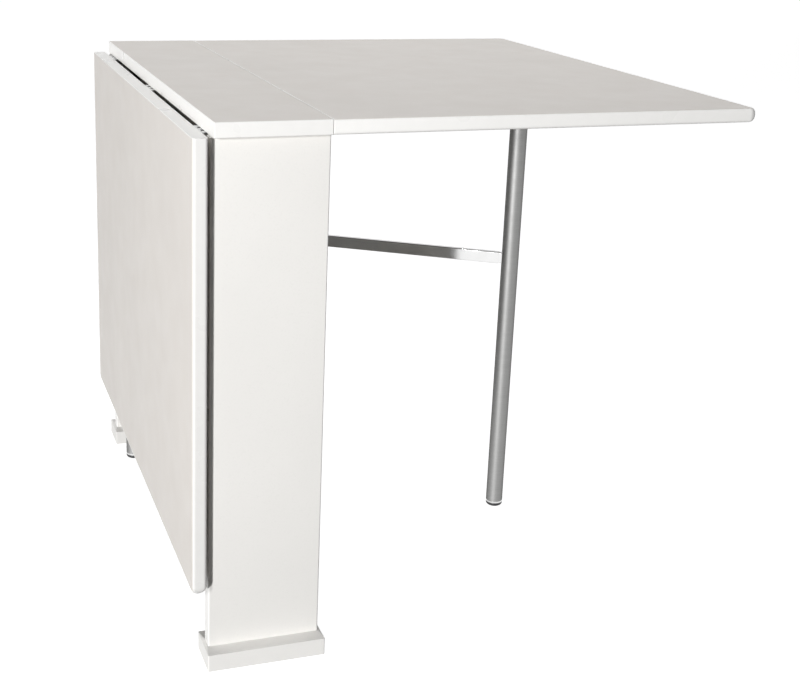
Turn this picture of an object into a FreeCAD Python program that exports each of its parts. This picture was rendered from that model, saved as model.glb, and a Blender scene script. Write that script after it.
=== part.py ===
"""Drop-leaf kitchen table on a narrow storage cabinet, with two swinging gate legs.

Millimetres, +Z up. Pieces are modelled about the middle of the cabinet, x = 0 and y = 0,
standing on the floor at z = 0. The -Y end is the near end. Everything on the left side is
the right side turned half a turn about the vertical line through the middle. The right leaf
is up and stands on its open gate; the left leaf hangs and its gate is folded away. On export
the model is shifted so that the origin is the floor centre of this pose's bounding box.
"""
import FreeCAD, Part
import math
import os

Vector = FreeCAD.Vector

# ---------------------------------------------------------------- driving dimensions
TABLE_HEIGHT = 750.0
TABLE_DEPTH = 830.0            # length of all three top boards, along Y
FIXED_TOP_WIDTH = 152.0
LEAF_LENGTH = 620.0            # from the seam to the leaf's free edge
TOP_THICKNESS = 20.0
SEAM_GAP = 0.8
OUTER_EDGE_RADIUS = 2.0        # rounding of the edging on the free edges
SEAM_EDGE_RADIUS = 0.8
LEAF_CORNER_RADIUS = 14.0
LEAF_NOSE_LAND = 1.0           # flat left in the middle of the leaf's rounded free end

PANEL_THICKNESS = 22.0
PANEL_SETBACK = 14.0           # overhang of the top past each end panel
PANEL_SIDE_OUT = 2.0           # the panels stand out this far past the fixed top's sides
PANEL_TOP_RELIEF = 1.5         # step under the leaf's swing, outside the fixed top

SHOE_FACE_PROJECTION = 21.0    # beyond each broad face of the panel
SHOE_SIDE_PROJECTION = 4.5     # beyond each narrow edge of the panel
SHOE_WALL_HEIGHT = 24.5
SHOE_SLOPE_RISE = 1.5          # from the wall's top to the lip round the panel
SHOE_LIP = 1.0
SHOE_POCKET_FLOOR = 12.0
SHOE_CORNER_RADIUS = 1.5

CARCASS_THICKNESS = 16.0
CABINET_BOTTOM_HEIGHT = 60.0
GATE_RECESS = 33.0             # room for a folded gate between cabinet and top edge
SHELF_HEIGHTS = (280.0, 500.0)  # undersides of the shelves
SHELF_END_CLEARANCE = 0.5
STILE_WIDTH = 60.0
STILE_CLEARANCE = 0.4
BOARD_EDGE_RADIUS = 1.0

SHELF_PIN_RADIUS = 2.5
SHELF_PIN_DEPTH = 7.0
SHELF_PIN_REACH = 8.0
SHELF_PIN_MARGIN = 14.0        # from the shelf's long edges
DOWEL_RADIUS = 4.0
DOWEL_HALF_LENGTH = 15.0
DOWEL_EDGE_MARGIN = 17.0       # from the long edges of the bottom and of the top rail
BACK_DOWEL_HEIGHTS = (170.0, 620.0)

HINGE_AXIS_OUT = 4.4           # from the fixed top's side to the pin's axis
HINGE_AXIS_DROP = 2.5          # from the boards' undersides to the pin's axis
KNUCKLE_RADIUS = 2.3
HINGE_PIN_RADIUS = 1.25
HINGE_PIN_CLEARANCE = 0.05
HINGE_PIN_HEAD = 0.6
FLAP_THICKNESS = 1.2
FLAP_WIDTH = 32.0
HINGE_LENGTH = 50.0
KNUCKLE_COUNT = 5
KNUCKLE_GAP = 0.3
FLAP_CORNER_RADIUS = 3.0
HINGE_END_INSET = 70.0         # from each end of the top to the middle of the outer hinge
HINGE_SCREW_SPACING = 30.0
HINGE_SCREW_OUT = 20.0         # from the pin's axis

LEG_RADIUS = 14.0
TUBE_WALL = 1.5
FOOT_FLANGE = 7.0
CAP_FLANGE = 4.0
PLUG_LENGTH = 16.0
PLUG_CLEARANCE = 0.1
LEG_TOP_CLEARANCE = 0.3        # between the leg's cap and the leaf it carries
GATE_REACH = 535.0             # from the pivot's axis to the leg's axis
GATE_OPEN_ANGLE = 57.0         # of the right gate, from folded
LEG_HINGE_CLEARANCE = 9.0      # along Y, from a folded leg to the outer hinge
BAR_HEIGHT = 20.0
BAR_WIDTH = 10.0
BAR_CORNER_RADIUS = 1.5
BAR_LEVEL = 444.0              # height of the bar's middle
SADDLE_LENGTH = 5.0
SADDLE_INSET = 0.5

SLEEVE_RADIUS = 8.0
SLEEVE_HEIGHT = 44.0
PIVOT_PIN_RADIUS = 5.0
PIVOT_CLEARANCE = 0.05
PIVOT_HEAD_RADIUS = 7.5
PIVOT_HEAD_HEIGHT = 3.0
WASHER_RADIUS = 8.5
WASHER_THICKNESS = 1.0
SLEEVE_END_CLEARANCE = 0.1
BRACKET_THICKNESS = 3.0
BRACKET_WIDTH = 30.0
BRACKET_TAB = 22.0             # plate above and below the ears, for the screws
EAR_RADIUS = 9.0
BRACKET_SCREW_SPACING = 14.0
BEND_RADIUS = 1.0

SCREW_RADIUS = 1.75
SCREW_HEAD_RADIUS = 3.5
SCREW_TIP = 2.0
SHORT_SCREW = 14.0
RAIL_SCREW = 27.0
RAIL_SCREW_INSET = 85.0        # from each end panel to the outer screws
RAIL_SCREW_SPACING = 180.0     # from the outer screws to the inner ones

# ---------------------------------------------------------------- derived places
UNDERSIDE = TABLE_HEIGHT - TOP_THICKNESS
TOP_SIDE = FIXED_TOP_WIDTH / 2
TOP_END = TABLE_DEPTH / 2
PANEL_SIDE = TOP_SIDE + PANEL_SIDE_OUT
PANEL_FACE = TOP_END - PANEL_SETBACK
PANEL_INNER = PANEL_FACE - PANEL_THICKNESS
CABINET_SIDE = TOP_SIDE - GATE_RECESS
BACK_FACE = -CABINET_SIDE + CARCASS_THICKNESS
RAIL_LEVEL = UNDERSIDE - CARCASS_THICKNESS
FLOOR_BOARD_TOP = CABINET_BOTTOM_HEIGHT + CARCASS_THICKNESS
HALF_BOARD = CARCASS_THICKNESS / 2
GATE_PIVOT_X = TOP_SIDE - GATE_RECESS / 2
FOLDED_LEG_INSET = HINGE_END_INSET + HINGE_LENGTH / 2 + LEG_HINGE_CLEARANCE + LEG_RADIUS
GATE_PIVOT_Y = GATE_REACH - (TOP_END - FOLDED_LEG_INSET)
HINGE_X = TOP_SIDE + HINGE_AXIS_OUT
HINGE_Z = UNDERSIDE - HINGE_AXIS_DROP
HINGE_PLACES = (HINGE_END_INSET - TOP_END, 0.0, TOP_END - HINGE_END_INSET)
LEAF_FREE_EDGE = TOP_SIDE + SEAM_GAP + LEAF_LENGTH
HANGING_FACE = HINGE_X + HINGE_AXIS_DROP + TOP_THICKNESS
EAR_GAP = SLEEVE_HEIGHT + 2 * (WASHER_THICKNESS + SLEEVE_END_CLEARANCE)
ORIGIN_X = (LEAF_FREE_EDGE - HANGING_FACE) / 2

UP = Vector(0, 0, 1)
ALONG_Y = Vector(0, 1, 0)
MIDDLE = Vector(0, 0, 0)


# ---------------------------------------------------------------- shape helpers
def block(x0, x1, y0, y1, z0, z1):
    """A box between two opposite corners."""
    return Part.makeBox(x1 - x0, y1 - y0, z1 - z0, Vector(x0, y0, z0))


def rod(radius, start, direction, length):
    """A round bar from start along direction."""
    return Part.makeCylinder(radius, length, start, direction)


def tube(outer, inner, start, direction, length):
    """A round tube from start along direction."""
    return rod(outer, start, direction, length).cut(rod(inner, start, direction, length))


def fuse(shapes):
    """One solid from several that touch."""
    joined = shapes[0].multiFuse(shapes[1:]) if len(shapes) > 1 else shapes[0]
    return joined.removeSplitter()


def drill(shape, tools):
    """The shape with every tool cut out of it."""
    for tool in tools:
        shape = shape.cut(tool)
    return shape


def half_turn(shape):
    """The matching piece of the left side: the right one turned about the middle."""
    turned = shape.copy()
    turned.rotate(MIDDLE, UP, 180)
    return turned


def rounded(shape, radius, chosen):
    """The shape with a fillet on every edge that the test chosen(edge) picks."""
    return shape.makeFillet(radius, [edge for edge in shape.Edges if chosen(edge)])


def runs_along(edge, axis):
    """True for a straight edge parallel to the axis."""
    if edge.Curve.TypeId != "Part::GeomLine":
        return False
    start, end = edge.Vertexes[0].Point, edge.Vertexes[-1].Point
    return (end - start).normalize().cross(axis).Length < 1e-6


def near(value, target):
    """True when two coordinates agree."""
    return abs(value - target) < 1e-4


def screw(length):
    """A countersunk screw, head face at the origin and shank running up along +Z."""
    taper = SCREW_HEAD_RADIUS - SCREW_RADIUS
    outline = [Vector(0, 0, 0), Vector(SCREW_HEAD_RADIUS, 0, 0),
               Vector(SCREW_RADIUS, 0, taper), Vector(SCREW_RADIUS, 0, length - SCREW_TIP),
               Vector(0, 0, length), Vector(0, 0, 0)]
    return Part.Face(Part.makePolygon(outline)).revolve(MIDDLE, UP, 360)


def placed_screw(length, head, direction):
    """A screw with its head face at head, driven along direction."""
    shape = screw(length)
    shape.Placement = FreeCAD.Placement(head, FreeCAD.Rotation(UP, direction))
    return shape


# ---------------------------------------------------------------- table top
def leaf_outline():
    """The leaf's plan at its underside: square at the seam, two round corners outside."""
    seam = TOP_SIDE + SEAM_GAP
    bow = LEAF_CORNER_RADIUS * (1 - math.sqrt(0.5))
    corner, tangent = LEAF_FREE_EDGE, LEAF_FREE_EDGE - LEAF_CORNER_RADIUS
    straight = TOP_END - LEAF_CORNER_RADIUS

    def at(x, y):
        return Vector(x, y, UNDERSIDE)

    edges = [
        Part.LineSegment(at(seam, -TOP_END), at(tangent, -TOP_END)).toShape(),
        Part.Arc(at(tangent, -TOP_END), at(corner - bow, -TOP_END + bow),
                 at(corner, -straight)).toShape(),
        Part.LineSegment(at(corner, -straight), at(corner, straight)).toShape(),
        Part.Arc(at(corner, straight), at(corner - bow, TOP_END - bow),
                 at(tangent, TOP_END)).toShape(),
        Part.LineSegment(at(tangent, TOP_END), at(seam, TOP_END)).toShape(),
        Part.LineSegment(at(seam, TOP_END), at(seam, -TOP_END)).toShape(),
    ]
    return Part.Face(Part.Wire(edges))


def leaf_board():
    """The right leaf, level: eased edges, a finer seam edge and a round nose at the end."""
    seam = TOP_SIDE + SEAM_GAP
    board = leaf_outline().extrude(Vector(0, 0, TOP_THICKNESS))

    def level(edge):
        return edge.BoundBox.ZLength < 1e-6

    def free(edge):
        return level(edge) and not near(edge.BoundBox.XMax, seam)

    def at_seam(edge):
        return level(edge) and runs_along(edge, ALONG_Y) and near(edge.BoundBox.XMax, seam)

    eased = rounded(rounded(board, OUTER_EDGE_RADIUS, free), SEAM_EDGE_RADIUS, at_seam)
    nosed = rounded(block(seam - 1, LEAF_FREE_EDGE, -TOP_END - 1, TOP_END + 1,
                          UNDERSIDE, TABLE_HEIGHT), (TOP_THICKNESS - LEAF_NOSE_LAND) / 2,
                    lambda edge: runs_along(edge, ALONG_Y)
                    and near(edge.BoundBox.XMin, LEAF_FREE_EDGE))
    return eased.common(nosed)


def fixed_board():
    """The fixed strip between the two leaves."""
    board = block(-TOP_SIDE, TOP_SIDE, -TOP_END, TOP_END, UNDERSIDE, TABLE_HEIGHT)

    def end_edge(edge):
        return runs_along(edge, Vector(1, 0, 0))

    def seam_edge(edge):
        return runs_along(edge, ALONG_Y) and near(abs(edge.BoundBox.XMax), TOP_SIDE)

    return rounded(rounded(board, OUTER_EDGE_RADIUS, end_edge), SEAM_EDGE_RADIUS, seam_edge)


# ---------------------------------------------------------------- end panels and shoes
def near_panel():
    """The near end panel, standing in its shoe and reaching the fixed top.

    It is a little wider than the fixed top, so its two upper corners are stepped down to
    let the leaves swing past.
    """
    panel = block(-PANEL_SIDE, PANEL_SIDE, -PANEL_FACE, -PANEL_INNER,
                  SHOE_POCKET_FLOOR, UNDERSIDE)
    panel = rounded(panel, OUTER_EDGE_RADIUS, lambda edge: runs_along(edge, UP))
    steps = [block(x, x + 2 * PANEL_SIDE_OUT, -PANEL_FACE - 1, -PANEL_INNER + 1,
                   UNDERSIDE - PANEL_TOP_RELIEF, UNDERSIDE + 1)
             for x in (TOP_SIDE, -TOP_SIDE - 2 * PANEL_SIDE_OUT)]
    return drill(panel, steps)


def plan_rectangle(half_x, y0, y1, level):
    """A closed rectangle at one level, symmetric in x."""
    return Part.makePolygon([Vector(-half_x, y0, level), Vector(half_x, y0, level),
                             Vector(half_x, y1, level), Vector(-half_x, y1, level),
                             Vector(-half_x, y0, level)])


def near_shoe():
    """The block that the near panel stands in: upright walls, then slopes up to the panel."""
    side = PANEL_SIDE + SHOE_SIDE_PROJECTION
    outer, inner = -PANEL_FACE - SHOE_FACE_PROJECTION, -PANEL_INNER + SHOE_FACE_PROJECTION
    wall = block(-side, side, outer, inner, 0, SHOE_WALL_HEIGHT)
    slopes = Part.makeLoft([
        plan_rectangle(side, outer, inner, SHOE_WALL_HEIGHT),
        plan_rectangle(PANEL_SIDE + SHOE_LIP, -PANEL_FACE - SHOE_LIP,
                       -PANEL_INNER + SHOE_LIP, SHOE_WALL_HEIGHT + SHOE_SLOPE_RISE)], True, True)
    solid = fuse([wall, slopes])
    solid = rounded(solid, SHOE_CORNER_RADIUS,
                    lambda edge: runs_along(edge, UP) and edge.Length > SHOE_WALL_HEIGHT / 2)
    pocket = block(-PANEL_SIDE, PANEL_SIDE, -PANEL_FACE, -PANEL_INNER,
                   SHOE_POCKET_FLOOR, SHOE_WALL_HEIGHT + SHOE_SLOPE_RISE)
    return solid.cut(pocket)


# ---------------------------------------------------------------- storage cabinet
def carcass_board(x0, x1, y0, y1, z0, z1, front_edges):
    """A cabinet board whose edges picked by front_edges are eased."""
    return rounded(block(x0, x1, y0, y1, z0, z1), BOARD_EDGE_RADIUS, front_edges)


def at_front(edge):
    """True for the long edges of a board on the cabinet's open side."""
    return near(edge.BoundBox.XMin, CABINET_SIDE) and not runs_along(edge, Vector(1, 0, 0))


def long_front(edge):
    """True for the front edges that run along Y."""
    return at_front(edge) and runs_along(edge, ALONG_Y)


def tall_front(edge):
    """True for the front edges that run upwards."""
    return at_front(edge) and runs_along(edge, UP)


def stile():
    """The upright on the open side that carries the right gate's bracket."""
    return carcass_board(CABINET_SIDE - CARCASS_THICKNESS, CABINET_SIDE,
                         GATE_PIVOT_Y - STILE_WIDTH / 2, GATE_PIVOT_Y + STILE_WIDTH / 2,
                         FLOOR_BOARD_TOP, RAIL_LEVEL, tall_front)


def shelf(side, level):
    """A shelf of the near bay (side -1) or the far bay (side 1), clear of the stile."""
    ends = sorted((side * (HALF_BOARD + SHELF_END_CLEARANCE),
                   side * (PANEL_INNER - SHELF_END_CLEARANCE)))
    board = carcass_board(BACK_FACE, CABINET_SIDE, ends[0], ends[1],
                          level, level + CARCASS_THICKNESS, long_front)
    notch = block(CABINET_SIDE - CARCASS_THICKNESS - STILE_CLEARANCE, CABINET_SIDE + 1,
                  GATE_PIVOT_Y - STILE_WIDTH / 2 - STILE_CLEARANCE,
                  GATE_PIVOT_Y + STILE_WIDTH / 2 + STILE_CLEARANCE,
                  level - 1, level + CARCASS_THICKNESS + 1)
    return board.cut(notch) if side > 0 else board


def shelf_pins():
    """Four pins under each shelf, half in the wall and half under the board."""
    pins = []
    rows = (BACK_FACE + SHELF_PIN_MARGIN, CABINET_SIDE - SHELF_PIN_MARGIN)
    for level in SHELF_HEIGHTS:
        for wall, inward in ((-PANEL_INNER, 1), (-HALF_BOARD, -1), (HALF_BOARD, 1),
                             (PANEL_INNER, -1)):
            for x in rows:
                start = Vector(x, wall - inward * SHELF_PIN_DEPTH, level - SHELF_PIN_RADIUS)
                pins.append(rod(SHELF_PIN_RADIUS, start, ALONG_Y * inward,
                                SHELF_PIN_DEPTH + SHELF_PIN_REACH))
    return pins


def dowels():
    """Dowels from each end panel into the back, the bottom board and the top rail."""
    places = [(-CABINET_SIDE + HALF_BOARD, height) for height in BACK_DOWEL_HEIGHTS]
    for level in (CABINET_BOTTOM_HEIGHT + HALF_BOARD, RAIL_LEVEL + HALF_BOARD):
        for x in (BACK_FACE + DOWEL_EDGE_MARGIN, CABINET_SIDE - DOWEL_EDGE_MARGIN):
            places.append((x, level))
    return [rod(DOWEL_RADIUS, Vector(x, end * PANEL_INNER - DOWEL_HALF_LENGTH, z), ALONG_Y,
                2 * DOWEL_HALF_LENGTH) for end in (-1, 1) for x, z in places]


def rail_screws():
    """Screws driven up through the top rail into the fixed top."""
    middle = (BACK_FACE + CABINET_SIDE) / 2
    outer = PANEL_INNER - RAIL_SCREW_INSET
    inner = outer - RAIL_SCREW_SPACING
    return [placed_screw(RAIL_SCREW, Vector(middle, y, RAIL_LEVEL), UP)
            for y in (-outer, -inner, inner, outer)]


# ---------------------------------------------------------------- leaf hinges
def knuckle_spans(of_leaf):
    """Lengthwise spans of the knuckles on one flap, from the hinge's middle."""
    pitch = HINGE_LENGTH / KNUCKLE_COUNT
    spans = []
    for index in range(KNUCKLE_COUNT):
        if index % 2 == (1 if of_leaf else 0):
            start = -HINGE_LENGTH / 2 + index * pitch
            spans.append((start + KNUCKLE_GAP / 2, start + pitch - KNUCKLE_GAP / 2))
    return spans


def flap(y, of_leaf):
    """One hinge flap with its knuckles, under the leaf or under the fixed top.

    The plate lies flat on the board. From the seam to the pin the webs and knuckles stay
    under the knuckles' crown, so that the leaf's edge can dip a little when it is lifted.
    """
    side = 1 if of_leaf else -1
    half = HINGE_LENGTH / 2
    clear = KNUCKLE_RADIUS + KNUCKLE_GAP
    plate_start = HINGE_X + clear if of_leaf else min(HINGE_X - clear, TOP_SIDE)
    inner, outer = sorted((plate_start, HINGE_X + side * FLAP_WIDTH))
    plate_floor = UNDERSIDE - FLAP_THICKNESS
    plate = block(inner, outer, y - half, y + half, plate_floor, UNDERSIDE)
    far_x = HINGE_X + side * FLAP_WIDTH
    plate = rounded(plate, FLAP_CORNER_RADIUS,
                    lambda edge: runs_along(edge, UP) and near(edge.BoundBox.XMax, far_x))
    pieces = [plate]
    crown = HINGE_Z + KNUCKLE_RADIUS
    for low, high in knuckle_spans(of_leaf):
        ends = sorted((HINGE_X, plate_start + side * FLAP_THICKNESS))
        pieces.append(block(ends[0], ends[1], y + low, y + high, plate_floor, crown))
        pieces.append(rod(KNUCKLE_RADIUS, Vector(HINGE_X, y + low, HINGE_Z), ALONG_Y,
                          high - low))
    bore = rod(HINGE_PIN_RADIUS + HINGE_PIN_CLEARANCE, Vector(HINGE_X, y - half, HINGE_Z),
               ALONG_Y, HINGE_LENGTH)
    return fuse(pieces).cut(bore)


def hinge_pin(y):
    """A plain pin with a thin head at each end."""
    half = HINGE_LENGTH / 2
    shank = rod(HINGE_PIN_RADIUS, Vector(HINGE_X, y - half, HINGE_Z), ALONG_Y, HINGE_LENGTH)
    heads = [rod(KNUCKLE_RADIUS - KNUCKLE_GAP, Vector(HINGE_X, start, HINGE_Z), ALONG_Y,
                 HINGE_PIN_HEAD) for start in (y - half - HINGE_PIN_HEAD, y + half)]
    return fuse([shank] + heads)


def hinge_screws(of_leaf):
    """The screws through all flaps of one side, driven up into the board."""
    x = HINGE_X + (1 if of_leaf else -1) * HINGE_SCREW_OUT
    level = UNDERSIDE - FLAP_THICKNESS
    return [placed_screw(SHORT_SCREW, Vector(x, y + offset, level), UP)
            for y in HINGE_PLACES
            for offset in (-HINGE_SCREW_SPACING / 2, HINGE_SCREW_SPACING / 2)]


# ---------------------------------------------------------------- gate legs
def gate_point(along, level):
    """A point of the folded right gate, at a distance from its pivot and a height."""
    return Vector(GATE_PIVOT_X, GATE_PIVOT_Y - along, level)


def leg_tube():
    """The round leg between the foot's flange and the cap's flange."""
    top = UNDERSIDE - LEG_TOP_CLEARANCE - CAP_FLANGE
    return tube(LEG_RADIUS, LEG_RADIUS - TUBE_WALL, gate_point(GATE_REACH, FOOT_FLANGE), UP,
                top - FOOT_FLANGE)


def leg_plug(base, flange, upwards):
    """A moulded end plug: a flange as wide as the leg and a stub inside the tube."""
    direction = UP if upwards else -UP
    disc = rod(LEG_RADIUS, base, direction, flange)
    free_level = base.z
    disc = rounded(disc, min(OUTER_EDGE_RADIUS, flange / 2),
                   lambda edge: near(edge.BoundBox.ZMin, free_level)
                   and edge.BoundBox.ZLength < 1e-6)
    stub = rod(LEG_RADIUS - TUBE_WALL - PLUG_CLEARANCE, base + direction * flange, direction,
               PLUG_LENGTH)
    return fuse([disc, stub])


def bar():
    """The rectangular tube from the pivot's sleeve to the saddle at the leg."""
    half_width, half_height = BAR_WIDTH / 2, BAR_HEIGHT / 2
    length = GATE_REACH - LEG_RADIUS - SADDLE_LENGTH
    outer = block(GATE_PIVOT_X - half_width, GATE_PIVOT_X + half_width,
                  GATE_PIVOT_Y - length, GATE_PIVOT_Y,
                  BAR_LEVEL - half_height, BAR_LEVEL + half_height)
    outer = rounded(outer, BAR_CORNER_RADIUS, lambda edge: runs_along(edge, ALONG_Y))
    inside = block(GATE_PIVOT_X - half_width + TUBE_WALL, GATE_PIVOT_X + half_width - TUBE_WALL,
                   GATE_PIVOT_Y - length, GATE_PIVOT_Y,
                   BAR_LEVEL - half_height + TUBE_WALL, BAR_LEVEL + half_height - TUBE_WALL)
    coped = rod(SLEEVE_RADIUS, gate_point(0, BAR_LEVEL - BAR_HEIGHT), UP, 2 * BAR_HEIGHT)
    return outer.cut(inside).cut(coped)


def saddle():
    """The short fitting between the bar's end and the leg, hollowed to the leg's round."""
    half_width, half_height = BAR_WIDTH / 2 - SADDLE_INSET, BAR_HEIGHT / 2 - SADDLE_INSET
    near_leg = GATE_PIVOT_Y - GATE_REACH
    fitting = block(GATE_PIVOT_X - half_width, GATE_PIVOT_X + half_width,
                    near_leg, near_leg + LEG_RADIUS + SADDLE_LENGTH,
                    BAR_LEVEL - half_height, BAR_LEVEL + half_height)
    fitting = rounded(fitting, BAR_CORNER_RADIUS, lambda edge: runs_along(edge, ALONG_Y))
    return fitting.cut(rod(LEG_RADIUS, gate_point(GATE_REACH, BAR_LEVEL - BAR_HEIGHT), UP,
                           2 * BAR_HEIGHT))


def sleeve():
    """The upright sleeve at the gate's pivot."""
    return tube(SLEEVE_RADIUS, PIVOT_PIN_RADIUS + PIVOT_CLEARANCE,
                gate_point(0, BAR_LEVEL - SLEEVE_HEIGHT / 2), UP, SLEEVE_HEIGHT)


def bracket():
    """A folded plate with two ears that hold the pivot pin above and below the sleeve."""
    half = BRACKET_WIDTH / 2
    ear_half = EAR_GAP / 2
    tab = ear_half + BRACKET_THICKNESS + BRACKET_TAB
    face = CABINET_SIDE + BRACKET_THICKNESS
    pieces = [block(CABINET_SIDE, face, GATE_PIVOT_Y - half, GATE_PIVOT_Y + half,
                    BAR_LEVEL - tab, BAR_LEVEL + tab)]
    for level in (BAR_LEVEL - ear_half - BRACKET_THICKNESS, BAR_LEVEL + ear_half):
        pieces.append(block(face, GATE_PIVOT_X, GATE_PIVOT_Y - EAR_RADIUS,
                            GATE_PIVOT_Y + EAR_RADIUS, level, level + BRACKET_THICKNESS))
        pieces.append(rod(EAR_RADIUS, gate_point(0, level), UP, BRACKET_THICKNESS))
    folded = fuse(pieces)
    folded = rounded(folded, BEND_RADIUS,
                     lambda edge: runs_along(edge, ALONG_Y)
                     and near(edge.BoundBox.XMin, face)
                     and abs(edge.BoundBox.ZMin - BAR_LEVEL) < tab - 1)
    return folded.cut(rod(PIVOT_PIN_RADIUS, gate_point(0, BAR_LEVEL - tab), UP, 2 * tab))


def pivot_pin():
    """The gate's pin, headed on top and ending flush under the lower ear."""
    low = BAR_LEVEL - EAR_GAP / 2 - BRACKET_THICKNESS
    high = BAR_LEVEL + EAR_GAP / 2 + BRACKET_THICKNESS
    shank = rod(PIVOT_PIN_RADIUS, gate_point(0, low), UP, high - low)
    head = rod(PIVOT_HEAD_RADIUS, gate_point(0, high), UP, PIVOT_HEAD_HEIGHT)
    head = rounded(head, PIVOT_HEAD_HEIGHT / 2,
                   lambda edge: near(edge.BoundBox.ZMin, high + PIVOT_HEAD_HEIGHT))
    return fuse([shank, head])


def washers():
    """One plain washer against each ear of the bracket."""
    low = BAR_LEVEL - EAR_GAP / 2
    high = BAR_LEVEL + EAR_GAP / 2 - WASHER_THICKNESS
    return [tube(WASHER_RADIUS, PIVOT_PIN_RADIUS, gate_point(0, level), UP, WASHER_THICKNESS)
            for level in (low, high)]


def bracket_screws():
    """Two screws above the ears and two below, driven into the cabinet."""
    height = EAR_GAP / 2 + BRACKET_THICKNESS + BRACKET_TAB / 2
    head_x = CABINET_SIDE + BRACKET_THICKNESS
    return [placed_screw(SHORT_SCREW, Vector(head_x, GATE_PIVOT_Y + across, BAR_LEVEL + up),
                         Vector(-1, 0, 0))
            for up in (-height, height)
            for across in (-BRACKET_SCREW_SPACING / 2, BRACKET_SCREW_SPACING / 2)]


# ---------------------------------------------------------------- assembly
def opened(shape):
    """The right gate's piece, swung from folded to its open place."""
    swung = shape.copy()
    swung.rotate(gate_point(0, 0), UP, GATE_OPEN_ANGLE)
    return swung


def hung(shape):
    """A piece of the left leaf, turned down a quarter turn about its hinge."""
    turned = half_turn(shape)
    turned.rotate(Vector(-HINGE_X, 0, HINGE_Z), ALONG_Y, -90)
    return turned


def base_pieces():
    """Everything that stands still: top strip, panels, shoes and cabinet."""
    top_screws = hinge_screws(False)
    rail_fixings = rail_screws()
    gate_fixings = bracket_screws()
    left_gate_fixings = [half_turn(one) for one in gate_fixings]
    pegs = dowels()
    pins = shelf_pins()
    near_end = near_panel()
    bottom = carcass_board(BACK_FACE, CABINET_SIDE, -PANEL_INNER, PANEL_INNER,
                           CABINET_BOTTOM_HEIGHT, FLOOR_BOARD_TOP, long_front)
    rail = carcass_board(BACK_FACE, CABINET_SIDE, -PANEL_INNER, PANEL_INNER,
                         RAIL_LEVEL, UNDERSIDE, long_front)
    back = block(-CABINET_SIDE, BACK_FACE, -PANEL_INNER, PANEL_INNER,
                 CABINET_BOTTOM_HEIGHT, UNDERSIDE)
    divider = carcass_board(BACK_FACE, CABINET_SIDE, -HALF_BOARD, HALF_BOARD,
                            FLOOR_BOARD_TOP, RAIL_LEVEL, tall_front)
    all_top_screws = top_screws + [half_turn(one) for one in top_screws] + rail_fixings
    pieces = {
        "fixed_top": drill(fixed_board(), all_top_screws),
        "near_end_panel": drill(near_end, pegs + pins),
        "far_end_panel": drill(half_turn(near_end), pegs + pins),
        "near_shoe": near_shoe(),
        "far_shoe": half_turn(near_shoe()),
        "cabinet_back": drill(back, pegs + left_gate_fixings),
        "cabinet_bottom": drill(bottom, pegs),
        "cabinet_top_rail": drill(rail, pegs + rail_fixings),
        "cabinet_divider": drill(divider, pins),
        "cabinet_stile": drill(stile(), gate_fixings),
        "cabinet_dowels": Part.makeCompound(pegs),
        "shelf_pins": Part.makeCompound(pins),
        "top_rail_screws": Part.makeCompound(rail_fixings),
    }
    for level, name in zip(SHELF_HEIGHTS, ("lower", "upper")):
        pieces["near_%s_shelf" % name] = shelf(-1, level)
        pieces["far_%s_shelf" % name] = shelf(1, level)
    return pieces


def leaf_pieces(side, place):
    """One leaf with its hinges; place moves a right-hand leaf piece to where it rests."""
    mirror = half_turn if side == "left" else (lambda shape: shape)
    top_fixings, leaf_fixings = hinge_screws(False), hinge_screws(True)
    top_flaps = [drill(flap(y, False), top_fixings) for y in HINGE_PLACES]
    leaf_flaps = [drill(flap(y, True), leaf_fixings) for y in HINGE_PLACES]
    return {
        side + "_leaf": place(drill(leaf_board(), leaf_fixings)),
        side + "_leaf_hinge_flaps": place(Part.makeCompound(leaf_flaps)),
        side + "_leaf_hinge_screws": place(Part.makeCompound(leaf_fixings)),
        side + "_top_hinge_flaps": mirror(Part.makeCompound(top_flaps)),
        side + "_top_hinge_screws": mirror(Part.makeCompound(top_fixings)),
        side + "_hinge_pins": mirror(Part.makeCompound([hinge_pin(y) for y in HINGE_PLACES])),
    }


def gate_pieces(side, place):
    """One gate leg with its pivot; place moves a folded right-hand piece to its rest."""
    mirror = half_turn if side == "left" else (lambda shape: shape)
    fixings = bracket_screws()
    cap_top = gate_point(GATE_REACH, UNDERSIDE - LEG_TOP_CLEARANCE)
    return {
        side + "_gate_leg": place(leg_tube()),
        side + "_gate_foot": place(leg_plug(gate_point(GATE_REACH, 0), FOOT_FLANGE, True)),
        side + "_gate_cap": place(leg_plug(cap_top, CAP_FLANGE, False)),
        side + "_gate_bar": place(bar()),
        side + "_gate_saddle": place(saddle()),
        side + "_gate_sleeve": place(sleeve()),
        side + "_gate_bracket": mirror(drill(bracket(), fixings)),
        side + "_gate_pin": mirror(pivot_pin()),
        side + "_gate_washers": mirror(Part.makeCompound(washers())),
        side + "_gate_bracket_screws": mirror(Part.makeCompound(fixings)),
    }


def main():
    """Builds every piece and writes one STEP file for each."""
    pieces = base_pieces()
    pieces.update(leaf_pieces("right", lambda shape: shape))
    pieces.update(leaf_pieces("left", hung))
    pieces.update(gate_pieces("right", opened))
    pieces.update(gate_pieces("left", half_turn))
    os.makedirs("parts", exist_ok=True)
    for name, shape in sorted(pieces.items()):
        shape.translate(Vector(-ORIGIN_X, 0, 0))
        shape.exportStep("parts/%s.step" % name)
        print("%-28s %2d solid(s) %12.1f mm3" % (name, len(shape.Solids), shape.Volume))
    print("origin x from the cabinet's middle: %.3f" % ORIGIN_X)


main()
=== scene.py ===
import math

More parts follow.
